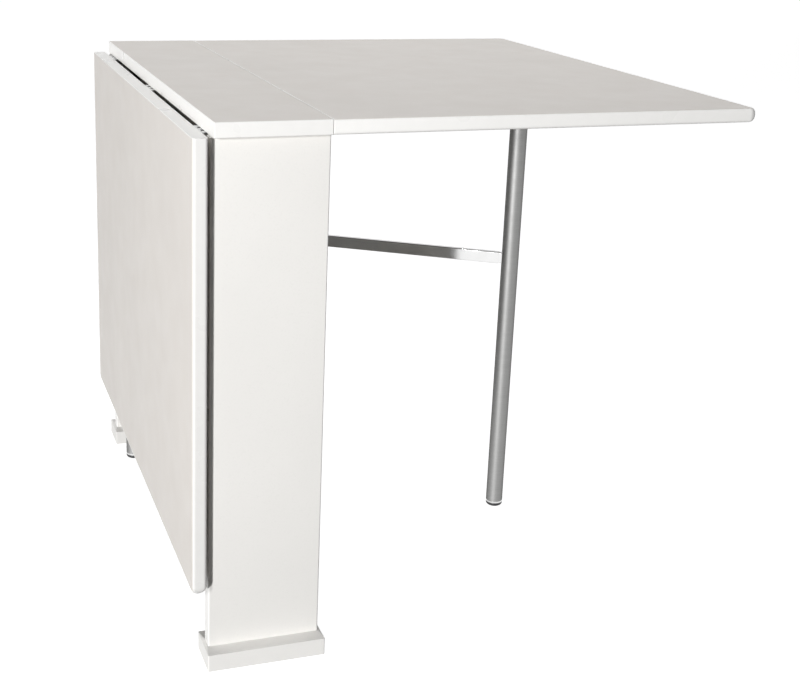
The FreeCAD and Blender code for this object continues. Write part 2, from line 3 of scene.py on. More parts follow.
import bpy
import numpy as np
from bpy.props import FloatProperty, FloatVectorProperty, IntProperty, PointerProperty
from mathutils import Matrix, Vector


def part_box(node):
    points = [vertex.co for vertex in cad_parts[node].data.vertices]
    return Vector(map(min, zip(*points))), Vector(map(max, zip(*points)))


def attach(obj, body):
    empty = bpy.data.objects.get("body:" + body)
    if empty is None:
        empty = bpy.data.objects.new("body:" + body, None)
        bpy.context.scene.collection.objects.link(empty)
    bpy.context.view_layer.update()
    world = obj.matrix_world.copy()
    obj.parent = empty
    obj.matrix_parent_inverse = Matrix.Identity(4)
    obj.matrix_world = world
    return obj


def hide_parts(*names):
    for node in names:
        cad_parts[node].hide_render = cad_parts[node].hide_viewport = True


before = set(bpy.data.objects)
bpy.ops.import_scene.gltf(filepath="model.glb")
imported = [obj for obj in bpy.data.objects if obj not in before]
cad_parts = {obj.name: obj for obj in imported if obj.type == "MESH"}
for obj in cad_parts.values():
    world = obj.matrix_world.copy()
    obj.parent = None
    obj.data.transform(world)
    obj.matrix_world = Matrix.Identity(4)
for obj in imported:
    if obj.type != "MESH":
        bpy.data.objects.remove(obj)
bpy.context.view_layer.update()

bl_info = {
    "name": "Drop-leaf table with storage cabinet",
    "version": (1, 0, 0),
    "blender": (4, 5, 0),
    "location": "View3D > Sidebar > Table",
    "description": "Finishes the boards, hinges and gates of a drop-leaf table and sets up its studio",
    "category": "Object",
}

SIDES = ("right", "left")
LEG_LOW, LEG_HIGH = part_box("right_gate_leg")
LEG_RADIUS = (LEG_HIGH[0] - LEG_LOW[0]) / 2
FOOT_TOP = LEG_LOW[2]
TUBE_TOP = LEG_HIGH[2]
PLUG_RADIUS = LEG_RADIUS - 0.0017       # of the foot's and the cap's plugs, inside the tube's wall
AXIS_RADIUS = 0.0008                    # of the first and last ring of a turned shape, before its fan
RING_THICKNESS = 0.0006                 # of the polished ring at a leg's lower end
SEAM_CORNER = 0.0008                    # of a leaf at the seam, seen from above
SEAM_EDGING = 0.0008                    # how much of the edging shows beside a seam
PIN_HOLES_LOW, PIN_HOLES_HIGH = 0.18, 0.62   # heights between which the divider is drilled
RIGHT_EDGING_PAINTED_LIGHT, LEFT_EDGING_PAINTED_SHADE = 1.06, 0.91  # painted light and shade: each leaf's edging is made brighter or darker than the other boards' edging, for how the lamps fall on it


# ---------------------------------------------------------------- sizes and colours


class LaminateSettings(bpy.types.PropertyGroup):
    """The white melamine boards: tops, leaves, end panels and the cabinet."""

    # the melamine's own white, darkened and warmed below the panel white as painted shade for the dimmer
    # light on the tops and leaves
    face_white_and_shade: FloatVectorProperty(
        name="Face white", description="Colour of the laminate faces",
        subtype="COLOR", size=3, min=0, max=1, default=(0.690, 0.652, 0.612))
    edge_white: FloatVectorProperty(
        name="Edging white", description="Colour of the glossier band glued round the boards",
        subtype="COLOR", size=3, min=0, max=1, default=(0.916, 0.908, 0.888))
    panel_white: FloatVectorProperty(
        name="Panel white", description="Colour of the end panels and the cabinet",
        subtype="COLOR", size=3, min=0, max=1, default=(0.868, 0.854, 0.826))
    edging_width: FloatProperty(
        name="Edging width", description="Thickness of the edging band that shows round a board's face",
        unit="LENGTH", min=0.0002, max=0.004, default=0.0018)
    glue_line: FloatProperty(
        name="Glue line", description="Width of the darker line between the edging and the face",
        unit="LENGTH", min=0.00005, max=0.001, default=0.00025, precision=5)
    leaf_corner: FloatProperty(
        name="Leaf corner", description="Rounding of a leaf's two free corners, seen from above",
        unit="LENGTH", min=0.002, max=0.1, default=0.014)
    nose_bend: FloatProperty(
        name="Free end rounding", description="Rounding of a leaf's free end, seen from the side",
        unit="LENGTH", min=0.0005, max=0.01, default=0.0095)
    side_bend: FloatProperty(
        name="Long side rounding", description="Rounding of a leaf's two long sides, seen from the end",
        unit="LENGTH", min=0.0005, max=0.01, default=0.0042)
    seam_bend: FloatProperty(
        name="Seam rounding", description="Rounding of a leaf's hinged side",
        unit="LENGTH", min=0.0001, max=0.002, default=0.0004)
    moulding_white: FloatVectorProperty(
        name="Moulding white", description="Colour of the moulded shoes under the end panels",
        subtype="COLOR", size=3, min=0, max=1, default=(0.888, 0.876, 0.850))
    stipple: FloatProperty(
        name="Stipple depth", description="Height of the fine pearl texture pressed into the laminate",
        unit="LENGTH", min=0, max=0.0005, default=0.00003, precision=6)
    pin_hole_pitch: FloatProperty(
        name="Pin hole pitch", description="Distance between the shelf-pin holes in the divider",
        unit="LENGTH", min=0.01, max=0.1, default=0.032)
    pin_hole_radius: FloatProperty(
        name="Pin hole radius", description="Radius of a shelf-pin hole",
        unit="LENGTH", min=0.001, max=0.005, default=0.0025)
    # the brown of the raw board inside a hole, darkened to near black as painted shade of the hole's depth
    pin_hole_brown_and_shade: FloatVectorProperty(
        name="Pin hole brown", description="Colour of the dark inside of a shelf-pin hole",
        subtype="COLOR", size=3, min=0, max=1, default=(0.045, 0.036, 0.027))


class MetalSettings(bpy.types.PropertyGroup):
    """The gates, hinges and screws."""

    steel_grey: FloatVectorProperty(
        name="Leg steel", description="Colour of the satin steel leg tubes",
        subtype="COLOR", size=3, min=0, max=1, default=(0.28, 0.28, 0.277))
    chrome_grey: FloatVectorProperty(
        name="Bar chrome", description="Colour of the chromed swing bars",
        subtype="COLOR", size=3, min=0, max=1, default=(0.69, 0.69, 0.69))
    zinc_grey: FloatVectorProperty(
        name="Hinge zinc", description="Colour of the zinc-plated hinges, brackets and screws",
        subtype="COLOR", size=3, min=0, max=1, default=(0.60, 0.61, 0.62))
    plastic_black: FloatVectorProperty(
        name="Foot black", description="Colour of the black feet and caps of the legs",
        subtype="COLOR", size=3, min=0, max=1, default=(0.010, 0.010, 0.011))
    nylon_grey: FloatVectorProperty(
        name="Washer grey", description="Colour of the nylon washers at the gate pins",
        subtype="COLOR", size=3, min=0, max=1, default=(0.42, 0.42, 0.41))
    recess_width: FloatProperty(
        name="Recess width", description="Half width of the cross pressed into a screw head",
        unit="LENGTH", min=0.0002, max=0.002, default=0.0005)
    recess_depth: FloatProperty(
        name="Recess depth", description="Depth of the cross pressed into a screw head",
        unit="LENGTH", min=0.0002, max=0.003, default=0.0013)
    thread_pitch: FloatProperty(
        name="Thread pitch", description="Rise of a wood screw's thread in one turn",
        unit="LENGTH", min=0.0005, max=0.004, default=0.0014)
    ring_height: FloatProperty(
        name="End ring height", description="Height of the polished ring where a leg tube meets its foot",
        unit="LENGTH", min=0.001, max=0.01, default=0.0030)
    round_steps: IntProperty(
        name="Round steps", description="Number of facets round a foot, ring or cap",
        min=12, max=128, default=72)


class StudioSettings(bpy.types.PropertyGroup):
    """Floor, lamps and camera."""

    camera_place: FloatVectorProperty(
        name="Camera place", description="Where the camera stands",
        subtype="XYZ", unit="LENGTH", size=3, default=(-0.73281, -1.96830, 1.03396))
    camera_turn: FloatVectorProperty(
        name="Camera turn", description="Turn to the right, tilt upwards and roll of the camera",
        subtype="EULER", unit="ROTATION", size=3,
        default=(math.radians(18.68), math.radians(-15.66), math.radians(1.79)))
    lens: FloatProperty(
        name="Lens", description="Focal length of the camera in millimetres",
        min=10, max=200, default=59.84)
    lens_shift: FloatVectorProperty(
        name="Lens shift", description="Sideways and upward shift of the lens, in picture widths",
        size=2, default=(0.075, -0.11875))
    floor_white: FloatVectorProperty(
        name="Floor white", description="Colour of the floor",
        subtype="COLOR", size=3, min=0, max=1, default=(0.42, 0.42, 0.415))
    floor_bounce: FloatProperty(
        name="Floor bounce", description="Share of the light that the floor throws back at the table",
        min=0, max=1, default=0.20)
    floor_glow: FloatProperty(
        name="Floor glow", description="The floor's own white where the camera or a mirror sees it",
        min=0, max=1, default=0.95)
    room_light: FloatProperty(
        name="Room light", description="Even light from all round",
        min=0, max=2, default=0.02)
    key_strength: FloatProperty(
        name="Key light", description="Strength of the distant key light from the front left",
        min=0, max=20, default=2.5)
    key_turn: FloatVectorProperty(
        name="Key direction", description="Angles of the key light left of the near end and above the floor",
        subtype="EULER", unit="ROTATION", size=2, default=(math.radians(44.0), math.radians(4.0)))
    near_power: FloatProperty(
        name="Near lamp", description="Power of the small lamp above the key light",
        unit="POWER", min=0, max=2000, default=18)
    top_power: FloatProperty(
        name="Top lamp", description="Power of the large lamp overhead",
        unit="POWER", min=0, max=2000, default=24)
    back_strength: FloatProperty(
        name="Back light", description="Strength of the distant soft light from behind",
        min=0, max=20, default=1.0)
    side_power: FloatProperty(
        name="Side lamp", description="Power of the soft lamp on the right",
        unit="POWER", min=0, max=2000, default=9)


# ---------------------------------------------------------------- meshes


def unit(vector):
    """The vector divided by its length."""
    vector = np.asarray(vector, float)
    return vector / np.linalg.norm(vector)


def across(axis):
    """Two unit vectors square to the axis and to each other, right-handed with it."""
    axis = unit(axis)
    first = unit(np.cross(axis, (0.0, 0.0, 1.0) if abs(axis[2]) < 0.9 else (1.0, 0.0, 0.0)))
    return first, np.cross(axis, first)


def outwards(points, faces):
    """The triangles, turned over if the volume that they enclose, the sum of each one's
    corner a times the cross product of b and c, over six, is negative."""
    a, b, c = (points[faces[:, k]] for k in range(3))
    six_volumes = np.einsum("ij,ij->i", a, np.cross(b, c)).sum()
    return faces[:, ::-1] if six_volumes < 0 else faces


def ring_stack(rings):
    """A closed skin over rings of equal length: each row and its next are joined by squares of
    two triangles, each row closes on itself, and each end row is closed by a fan to its own
    middle. Gives the points and the triangles."""
    rows, steps = rings.shape[:2]
    points = np.vstack([rings.reshape(-1, 3), rings[0].mean(axis=0), rings[-1].mean(axis=0)])
    i = np.arange(rows - 1)[:, None] * steps
    j = np.arange(steps)[None, :]
    k = (j + 1) % steps
    low, low_next, high, high_next = i + j, i + k, i + steps + j, i + steps + k
    first = np.stack([low, low_next, high_next], axis=-1).reshape(-1, 3)
    second = np.stack([low, high_next, high], axis=-1).reshape(-1, 3)
    start = np.stack([np.full(steps, rows * steps), k[0], j[0]], axis=-1)
    top = (rows - 1) * steps
    end = np.stack([np.full(steps, rows * steps + 1), top + j[0], top + k[0]], axis=-1)
    return points, outwards(points, np.vstack([first, second, start, end]))


def ring_loop(rings):
    """A closed skin over rings that come back to the first one, as on a torus."""
    rows, steps = rings.shape[:2]
    points = rings.reshape(-1, 3)
    i = np.arange(rows)[:, None]
    j = np.arange(steps)[None, :]
    n, k = (i + 1) % rows, (j + 1) % steps
    a, b, c, d = i * steps + j, i * steps + k, n * steps + k, n * steps + j
    faces = np.vstack([np.stack([a, b, c], axis=-1).reshape(-1, 3),
                       np.stack([a, c, d], axis=-1).reshape(-1, 3)])
    return points, outwards(points, faces)


def turned(profile, steps, foot):
    """Rings of a shape turned about the upright line through foot. At profile point (radius r,
    height h) and angle t the surface is foot + h upwards + r cos t along one level direction
    + r sin t along the other."""
    up = np.array([0.0, 0.0, 1.0])
    angle = np.linspace(0, 2 * math.pi, steps, endpoint=False)
    first, second = across(up)
    circle = np.cos(angle)[:, None] * first + np.sin(angle)[:, None] * second
    return foot + profile[:, 1, None, None] * up + profile[:, 0, None, None] * circle[None]


def rounded(corners, bend, steps=3):
    """The profile with each inner corner replaced by a curve: with t from 0 to 1, the point is
    (1-t) squared of the start, plus 2t(1-t) of the corner, plus t squared of the end, where
    start and end lie the bend, or at most 0.45 of the run, away from the corner."""
    before, corner, after = corners[:-2], corners[1:-1], corners[2:]
    t = np.linspace(0, 1, steps)[None, :, None]

    def towards(other):
        run = np.linalg.norm(other - corner, axis=1, keepdims=True)
        return corner + (other - corner) * np.minimum(bend / run, 0.45)

    start, end = towards(before)[:, None], towards(after)[:, None]
    curve = (1 - t) ** 2 * start + 2 * t * (1 - t) * corner[:, None] + t ** 2 * end
    return np.vstack([corners[:1], curve.reshape(-1, 2), corners[-1:]])


def put_mesh(name, parts, body, finish, smooth_to=35.0):
    """One object from several closed skins, riding on the body."""
    starts = np.cumsum([0] + [len(points) for points, _ in parts[:-1]])
    points = np.vstack([points for points, _ in parts])
    faces = np.vstack([faces + start for (_, faces), start in zip(parts, starts)])
    mesh = bpy.data.meshes.new(name)
    mesh.from_pydata(points.tolist(), [], faces.tolist())
    mesh.update()
    mesh.polygons.foreach_set("use_smooth", np.ones(len(mesh.polygons), bool))
    mesh.set_sharp_from_angle(angle=math.radians(smooth_to))
    piece = bpy.data.objects.new(name, mesh)
    bpy.context.scene.collection.objects.link(piece)
    piece.data.materials.append(finish)
    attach(piece, body)
    return piece


def node_body(node):
    """The name of the CAD body that carries the node."""
    for side in SIDES:
        if node.startswith(side + "_leaf"):
            return side + "_leaf"
        if node in [f"{side}_gate_{part}" for part in ("leg", "foot", "cap", "bar", "saddle", "sleeve")]:
            return side + "_gate"
    return "base"


def finish_node(node, finish):
    """Gives every material slot of a CAD node the finish."""
    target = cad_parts[node]
    if not target.data.materials:
        target.data.materials.append(finish)
    for place in target.material_slots:
        place.link = "OBJECT"
        place.material = finish


def separate_solids(node):
    """The corner points of each loose solid in a CAD node. Corners at the same place share a
    number, and each triangle hands its lowest number to its corners until nothing changes."""
    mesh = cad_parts[node].data
    points = np.empty(len(mesh.vertices) * 3)
    mesh.vertices.foreach_get("co", points)
    points = points.reshape(-1, 3)
    mesh.calc_loop_triangles()
    corners = np.empty(len(mesh.loop_triangles) * 3, np.int32)
    mesh.loop_triangles.foreach_get("vertices", corners)
    places, number = np.unique(np.round(points, 6), axis=0, return_inverse=True)
    triangles = number.ravel()[corners].reshape(-1, 3)
    label = np.arange(len(places))
    while True:
        lowest = label[triangles].min(axis=1)
        new = label.copy()
        for k in range(3):
            np.minimum.at(new, triangles[:, k], lowest)
        new = new[new]
        if np.array_equal(new, label):
            break
        label = new
    return [places[label == value] for value in np.unique(label)]


# ---------------------------------------------------------------- finishes


class Finish:
    """A material with its nodes laid out from left to right."""

    def __init__(self, name):
        self.material = bpy.data.materials.new(name)
        self.material.use_nodes = True
        self.tree = self.material.node_tree
        self.tree.nodes.clear()
        self.column = 0
        self.output = self.add("ShaderNodeOutputMaterial")
        self.shader = self.add("ShaderNodeBsdfPrincipled")
        self.tree.links.new(self.shader.outputs["BSDF"], self.output.inputs["Surface"])
        self.place = self.add("ShaderNodeTexCoord").outputs["Object"]

    def add(self, kind, **values):
        """A new node of that kind, with its own settings."""
        node = self.tree.nodes.new(kind)
        node.location = (-220 * self.column, -60 * (self.column % 3))
        self.column += 1
        for key, value in values.items():
            setattr(node, key, value)
        return node

    def feed(self, socket, value):
        """Links the socket to another one, or sets it to a number or colour."""
        if isinstance(value, bpy.types.NodeSocket):
            self.tree.links.new(value, socket)
        else:
            socket.default_value = value

    def wire(self, node, **inputs):
        """Feeds inputs by name; an underscore in a name stands for a space."""
        for key, value in inputs.items():
            self.feed(node.inputs[key.replace("_", " ")], value)
        return node

    def stretch(self, scale):
        """The place on the piece, scaled by its own factor along each axis."""
        return self.wire(self.add("ShaderNodeMapping"), Vector=self.place, Scale=scale).outputs["Vector"]

    def noise(self, scale, detail=2.0, vector=None, rough=0.5):
        """Cloudy noise, mostly 0.3 to 0.7, with scale clouds to each unit of the vector."""
        node = self.add("ShaderNodeTexNoise")
        self.wire(node, Vector=vector or self.place, Scale=scale, Detail=detail, Roughness=rough)
        return node.outputs["Fac"]

    def between(self, factor, low, high, start=0.3, stop=0.7):
        """From low to high as the factor goes from start to stop, and no further."""
        node = self.add("ShaderNodeMapRange", clamp=True)
        self.wire(node, Value=factor, From_Min=start, From_Max=stop, To_Min=low, To_Max=high)
        return node.outputs["Result"]

    def blend(self, factor, first, second):
        """The first colour where the factor is 0, going over to the second where it is 1."""
        node = self.add("ShaderNodeMix", data_type="RGBA")
        self.feed(node.inputs[0], factor)
        for socket, colour in ((node.inputs[6], first), (node.inputs[7], second)):
            self.feed(socket, colour if isinstance(colour, bpy.types.NodeSocket) else (*colour, 1.0))
        return node.outputs[2]

    def sum(self, operation, first, second=0.0, third=0.0):
        """One step of arithmetic on up to three numbers or sockets."""
        node = self.add("ShaderNodeMath", operation=operation)
        for socket, value in zip(node.inputs, (first, second, third)):
            self.feed(socket, value)
        return node.outputs[0]

    def bump(self, height, distance, strength=1.0, below=None):
        """A relief that is the distance deep, on top of the one below."""
        node = self.wire(self.add("ShaderNodeBump"), Height=height, Distance=distance, Strength=strength)
        if below is not None:
            self.wire(node, Normal=below)
        return node.outputs["Normal"]

    def surface(self, **inputs):
        """Sets the shader's sockets and gives the finished material."""
        self.wire(self.shader, **inputs)
        return self.material


def shade(colour, share):
    """The colour times the share, and no brighter than white."""
    return tuple(min(1.0, channel * share) for channel in colour)


def laminate_finish(name, settings, white, edges=(), edging_painted_light=1.0, holes=None):
    """Melamine laminate: cloudy white, a fine pearl stipple and a faint waviness of the board
    under it. Each edge is an axis, a place on it and a direction; beyond that place lies the
    cleaner, whiter and glossier edging band, with a hair of darker glue line where it meets
    the face."""
    finish = Finish(name)
    clouds = finish.noise(5.0, 4.0)
    specks = finish.noise(420.0, 1.0)
    colour = finish.blend(finish.between(clouds, 0.0, 1.0), shade(white, 0.965), white)
    colour = finish.blend(finish.between(specks, 0.0, 0.35, 0.55, 0.75), colour, shade(white, 0.93))
    handling = finish.noise(22.0, 3.0)
    gloss = finish.between(handling, 0.36, 0.47)
    if edges:
        band = board_edges(finish, edges, 0.0)
        glue = finish.sum("SUBTRACT", board_edges(finish, edges, settings.glue_line), band)
        rubbed = finish.between(finish.noise(70.0, 2.0), 0.0, 1.0)
        # painted light and shade: the edging factor makes a leaf's edging brighter or darker than the same
        # edging white elsewhere
        edging = shade(settings.edge_white, edging_painted_light)
        edging = finish.blend(rubbed, shade(edging, 0.98), edging)
        colour = finish.blend(finish.sum("MULTIPLY", glue, 0.35), colour, shade(white, 0.80))
        colour = finish.blend(band, colour, edging)
        gloss = finish.sum("SUBTRACT", gloss, finish.sum("MULTIPLY", band, 0.10))
    stipple = finish.noise(1300.0, 2.0)
    relief = finish.bump(stipple, settings.stipple, 0.55)
    relief = finish.bump(finish.noise(11.0, 1.0), 0.0006, 0.12, relief)
    if holes:
        hole = pin_holes(finish, settings, holes)
        # painted shade: each hole is a dark disc in the colour with a dip in the relief, and no depth of its
        # own
        colour = finish.blend(hole, colour, settings.pin_hole_brown_and_shade)
        relief = finish.bump(finish.sum("SUBTRACT", 1.0, hole), 0.0012, 0.8, relief)
    return finish.surface(Base_Color=colour, Roughness=gloss, Normal=relief, Specular_IOR_Level=0.4)


def board_edges(finish, edges, margin):
    """1 beyond any of the places, 0 between them: the coordinate along the axis less the
    place, times the direction, plus the margin, is over zero."""
    axes = finish.add("ShaderNodeSeparateXYZ")
    finish.wire(axes, Vector=finish.place)
    found = None
    for axis, place, way in edges:
        past = finish.sum("MULTIPLY_ADD", axes.outputs[axis], float(way), margin - way * place)
        inside = finish.sum("GREATER_THAN", past, 0.0)
        found = inside if found is None else finish.sum("MAXIMUM", found, inside)
    return found


def edges_of(node, width, ends):
    """Where the edging of a board begins: each end is an axis, a direction and its own width
    of edging, or None for the usual one."""
    low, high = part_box(node)
    places = []
    for axis, way, own in ends:
        index = "XYZ".index(axis)
        side = high[index] if way > 0 else low[index]
        places.append((axis, side - way * (own or width), way))
    return places


def pin_holes(finish, settings, columns):
    """1 inside a shelf-pin hole, 0 outside: the distance to the nearest hole centre, compared
    with the hole's radius. The centres lie at each column's x and half a pitch above every
    whole pitch in z, between two heights."""
    axes = finish.add("ShaderNodeSeparateXYZ")
    finish.wire(axes, Vector=finish.place)
    x, z = axes.outputs["X"], axes.outputs["Z"]
    pitch = settings.pin_hole_pitch
    up = finish.sum("SUBTRACT", finish.sum("MODULO", z, pitch), pitch / 2)
    sides = [finish.sum("ABSOLUTE", finish.sum("SUBTRACT", x, column)) for column in columns]
    side = finish.sum("MINIMUM", *sides)
    squares = finish.sum("ADD", finish.sum("MULTIPLY", up, up), finish.sum("MULTIPLY", side, side))
    away = finish.sum("SQRT", squares)
    inside = finish.between(away, 1.0, 0.0, settings.pin_hole_radius * 0.9, settings.pin_hole_radius * 1.05)
    band = finish.sum("MULTIPLY", finish.between(z, 0.0, 1.0, PIN_HOLES_LOW, PIN_HOLES_LOW + 0.001),
                      finish.between(z, 1.0, 0.0, PIN_HOLES_HIGH, PIN_HOLES_HIGH + 0.001))
    return finish.sum("MULTIPLY", inside, band)


def moulding_finish(settings):
    """Moulded white plastic with a fine spark-eroded grain and slight sink marks."""
    finish = Finish("shoe moulding")
    tone = finish.between(finish.noise(14.0, 3.0), 0.0, 1.0)
    colour = finish.blend(tone, shade(settings.moulding_white, 0.965), settings.moulding_white)
    grain = finish.noise(2100.0, 2.0)
    relief = finish.bump(grain, 0.00004, 0.6)
    relief = finish.bump(finish.noise(30.0, 1.0), 0.0004, 0.15, relief)
    gloss = finish.between(finish.noise(60.0, 2.0), 0.40, 0.52)
    return finish.surface(Base_Color=colour, Roughness=gloss, Normal=relief)


def satin_steel_finish(settings):
    """Steel tube polished on a belt: fine rings round the tube, which show as short level
    streaks, and a reflection that is darker where it is seen edge on."""
    finish = Finish("leg satin steel")
    streaks = finish.noise(1.0, 3.0, finish.stretch((45.0, 45.0, 2600.0)), 0.65)
    bands = finish.noise(1.0, 2.0, finish.stretch((10.0, 10.0, 90.0)))
    dull, bright = shade(settings.steel_grey, 0.86), shade(settings.steel_grey, 1.08)
    colour = finish.blend(finish.between(streaks, 0.0, 1.0), dull, bright)
    gloss = finish.sum("ADD", finish.between(streaks, 0.49, 0.57), finish.between(bands, -0.02, 0.03))
    relief = finish.bump(streaks, 0.00002, 0.5)
    return finish.surface(Base_Color=colour, Metallic=1.0, Roughness=gloss, Normal=relief,
                          Specular_Tint=(0.04, 0.04, 0.04, 1.0))


def chrome_finish(settings):
    """Bright chrome over drawn steel: almost a mirror, with long soft drawing lines, faint
    smears and a very slight waviness."""
    finish = Finish("bar chrome")
    smears = finish.noise(38.0, 3.0)
    lines = finish.noise(1.0, 2.0, finish.stretch((18.0, 18.0, 1400.0)))
    smeared = shade(settings.chrome_grey, 0.95)
    colour = finish.blend(finish.between(smears, 0.0, 1.0), smeared, settings.chrome_grey)
    gloss = finish.between(smears, 0.05, 0.10)
    relief = finish.bump(lines, 0.000008, 0.35)
    relief = finish.bump(finish.noise(9.0, 1.0), 0.0002, 0.10, relief)
    return finish.surface(Base_Color=colour, Metallic=1.0, Roughness=gloss, Normal=relief)


def zinc_finish(settings):
    """Zinc plating: small cloudy crystals in blue grey and warm grey over a satin base."""
    finish = Finish("hinge zinc")
    cells = finish.add("ShaderNodeTexVoronoi", feature="F1")
    finish.wire(cells, Vector=finish.place, Scale=260.0)
    cell = finish.between(cells.outputs["Distance"], 0.0, 1.0, 0.1, 0.8)
    colour = finish.blend(cell, shade(settings.zinc_grey, 0.86), shade(settings.zinc_grey, 1.05))
    worn = finish.between(finish.noise(90.0, 3.0), 0.0, 0.5)
    colour = finish.blend(worn, colour, (0.56, 0.55, 0.51))
    gloss = finish.between(finish.noise(150.0, 3.0), 0.24, 0.42)
    relief = finish.bump(finish.noise(900.0, 2.0), 0.00003, 0.5)
    return finish.surface(Base_Color=colour, Metallic=1.0, Roughness=gloss, Normal=relief)


def black_plastic_finish(settings):
    """Black moulded plastic with a fine matt grain, rubbed smoother in places."""
    finish = Finish("foot black plastic")
    rub = finish.noise(120.0, 3.0)
    rubbed = shade(settings.plastic_black, 1.9)
    colour = finish.blend(finish.between(rub, 0.0, 1.0), settings.plastic_black, rubbed)
    gloss = finish.between(rub, 0.30, 0.46)
    relief = finish.bump(finish.noise(1900.0, 2.0), 0.00003, 0.5)
    return finish.surface(Base_Color=colour, Roughness=gloss, Normal=relief)


def nylon_finish(settings):
    """Natural nylon: milky grey with faint cloudiness and a waxy surface."""
    finish = Finish("washer nylon")
    cloud = finish.between(finish.noise(180.0, 2.0), 0.0, 1.0)
    colour = finish.blend(cloud, shade(settings.nylon_grey, 0.9), shade(settings.nylon_grey, 1.08))
    gloss = finish.between(finish.noise(400.0, 2.0), 0.38, 0.5)
    relief = finish.bump(finish.noise(1200.0, 1.0), 0.00002, 0.4)
    return finish.surface(Base_Color=colour, Roughness=gloss, Normal=relief)


def beech_finish():
    """Beech dowel: pale brown with long fine grain along y and short darker flecks."""
    finish = Finish("dowel beech")
    grain = finish.noise(1.0, 4.0, finish.stretch((900.0, 25.0, 900.0)), 0.6)
    flecks = finish.noise(1.0, 1.0, finish.stretch((1500.0, 180.0, 1500.0)))
    colour = finish.blend(finish.between(grain, 0.0, 1.0), (0.42, 0.25, 0.13), (0.58, 0.38, 0.22))
    colour = finish.blend(finish.between(flecks, 0.0, 0.6, 0.6, 0.75), colour, (0.26, 0.14, 0.07))
    relief = finish.bump(grain, 0.00008, 0.5)
    gloss = finish.between(grain, 0.5, 0.66)
    return finish.surface(Base_Color=colour, Roughness=gloss, Normal=relief)


FINISHES = {}


def shared(name, make, *words):
    """The finish of that name, made once."""
    if name not in FINISHES:
        FINISHES[name] = make(*words)
    return FINISHES[name]


# ---------------------------------------------------------------- shapes of single fittings


def wood_screw(head, tip, head_radius, shank_radius, metal, steps=36):
    """One countersunk wood screw as rings from the middle of its head to its tip.

    Head: at radius r and angle t the face stands a low dome high, less the cross recess. The
    recess is deep where the smaller of |r cos t| and |r sin t| is under the half width and r is
    under its reach, shallower towards that reach, and falls off softly outside.
    Shank: below the head's cone, radius = 0.74 of the shank's plus 0.26 of it times the cube of
    a zigzag of height over pitch plus t over a full turn, which is a helix. It shrinks to a
    point at the tip."""
    axis = unit(np.asarray(tip) - head)
    length = float(np.linalg.norm(np.asarray(tip) - head))
    first, second = across(axis)
    angle = np.linspace(0, 2 * math.pi, steps, endpoint=False)[None, :]
    width, depth = metal.recess_width, metal.recess_depth
    reach = head_radius * 0.62
    dome_height = 0.0002

    face_r = np.linspace(0.04, 1.0, 15)[:, None] * head_radius * 0.97
    arm = np.minimum(np.abs(face_r * np.cos(angle)), np.abs(face_r * np.sin(angle)))
    cut = 1 / (1 + np.exp((arm - width) / (width * 0.14))) / (1 + np.exp((face_r - reach) / (width * 0.18)))
    dome = dome_height * (1 - (face_r / head_radius) ** 2)
    face_h = dome_height - dome + depth * cut * (1 - 0.35 * face_r / reach * (face_r < reach))
    face_r = face_r + 0 * angle

    cone = np.array([(head_radius, 0.00025), (head_radius, 0.0005),
                     (shank_radius * 1.02, head_radius - shank_radius + 0.0005)])
    cone_r, cone_h = cone[:, 0, None] + 0 * angle, cone[:, 1, None] + 0 * angle

    start = cone[-1, 1]
    height = np.linspace(start + 0.0002, length * 0.995, 44)[:, None] + 0 * angle
    turn = height / metal.thread_pitch + angle / (2 * math.pi)
    crest = np.abs(2 * (turn - np.floor(turn)) - 1) ** 3
    taper = np.clip((length - height) / (shank_radius * 1.6), 0.03, 1.0)
    shank_r = (shank_radius * 0.74 + shank_radius * 0.26 * crest) * taper

    radius = np.vstack([face_r, cone_r, shank_r])
    along = np.vstack([face_h, cone_h, height])
    circle = np.cos(angle)[..., None] * first + np.sin(angle)[..., None] * second
    rings = np.asarray(head) + along[..., None] * axis + radius[..., None] * circle
    return ring_stack(rings)


def screw_line(points):
    """Head middle, tip, head radius and shank radius of a screw from its solid's corners: the
    axis is the longest side of its box and the head is the end with the wider spread."""
    low, high = points.min(axis=0), points.max(axis=0)
    k = int(np.argmax(high - low))
    middle = (low + high) / 2
    other = [i for i in range(3) if i != k]
    length = high[k] - low[k]
    near_low = points[points[:, k] < low[k] + 0.12 * length][:, other]
    near_high = points[points[:, k] > high[k] - 0.12 * length][:, other]
    spread_low, spread_high = np.ptp(near_low, axis=0).max(), np.ptp(near_high, axis=0).max()
    head, tip = middle.copy(), middle.copy()
    head[k], tip[k] = (low[k], high[k]) if spread_low > spread_high else (high[k], low[k])
    return head, tip, max(spread_low, spread_high) / 2, min(spread_low, spread_high) / 2


def leg_axis(side):
    """Where the upright middle line of a leg meets the floor."""
    low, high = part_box(f"{side}_gate_leg")
    return np.array([(low[0] + high[0]) / 2, (low[1] + high[1]) / 2, 0.0])


def foot_profile():
    """Radius and height of the pushed-in foot: a flat glide, a quarter-round up to the tube's
    radius, a small lip under the tube, and a ribbed plug inside it."""
    r, top, plug = LEG_RADIUS, FOOT_TOP, PLUG_RADIUS
    heel_width, heel_height, plug_length = 0.0062, 0.0046, 0.016
    t = np.linspace(0, math.pi / 2, 9)
    heel = np.stack([r - heel_width + heel_width * np.sin(t), heel_height * (1 - np.cos(t))], axis=1)
    low = [(AXIS_RADIUS, 0.0004), (0.0046, 0.0004), (0.0052, 0.0)]
    lip = [(r, top - 0.0011), (r - 0.0004, top - 0.0006), (r - 0.0004, top), (plug, top)]
    ribs = [(plug - d, top + h) for h, d in
            ((0.001, 0.0), (0.003, 0.0), (0.0034, 0.0006), (0.0056, 0.0006), (0.006, 0.0), (0.008, 0.0),
             (0.0084, 0.0006), (0.0106, 0.0006), (0.011, 0.0), (0.0145, 0.0), (plug_length, 0.0012))]
    return np.array(low + heel.tolist() + lip + ribs + [(AXIS_RADIUS, top + plug_length)])


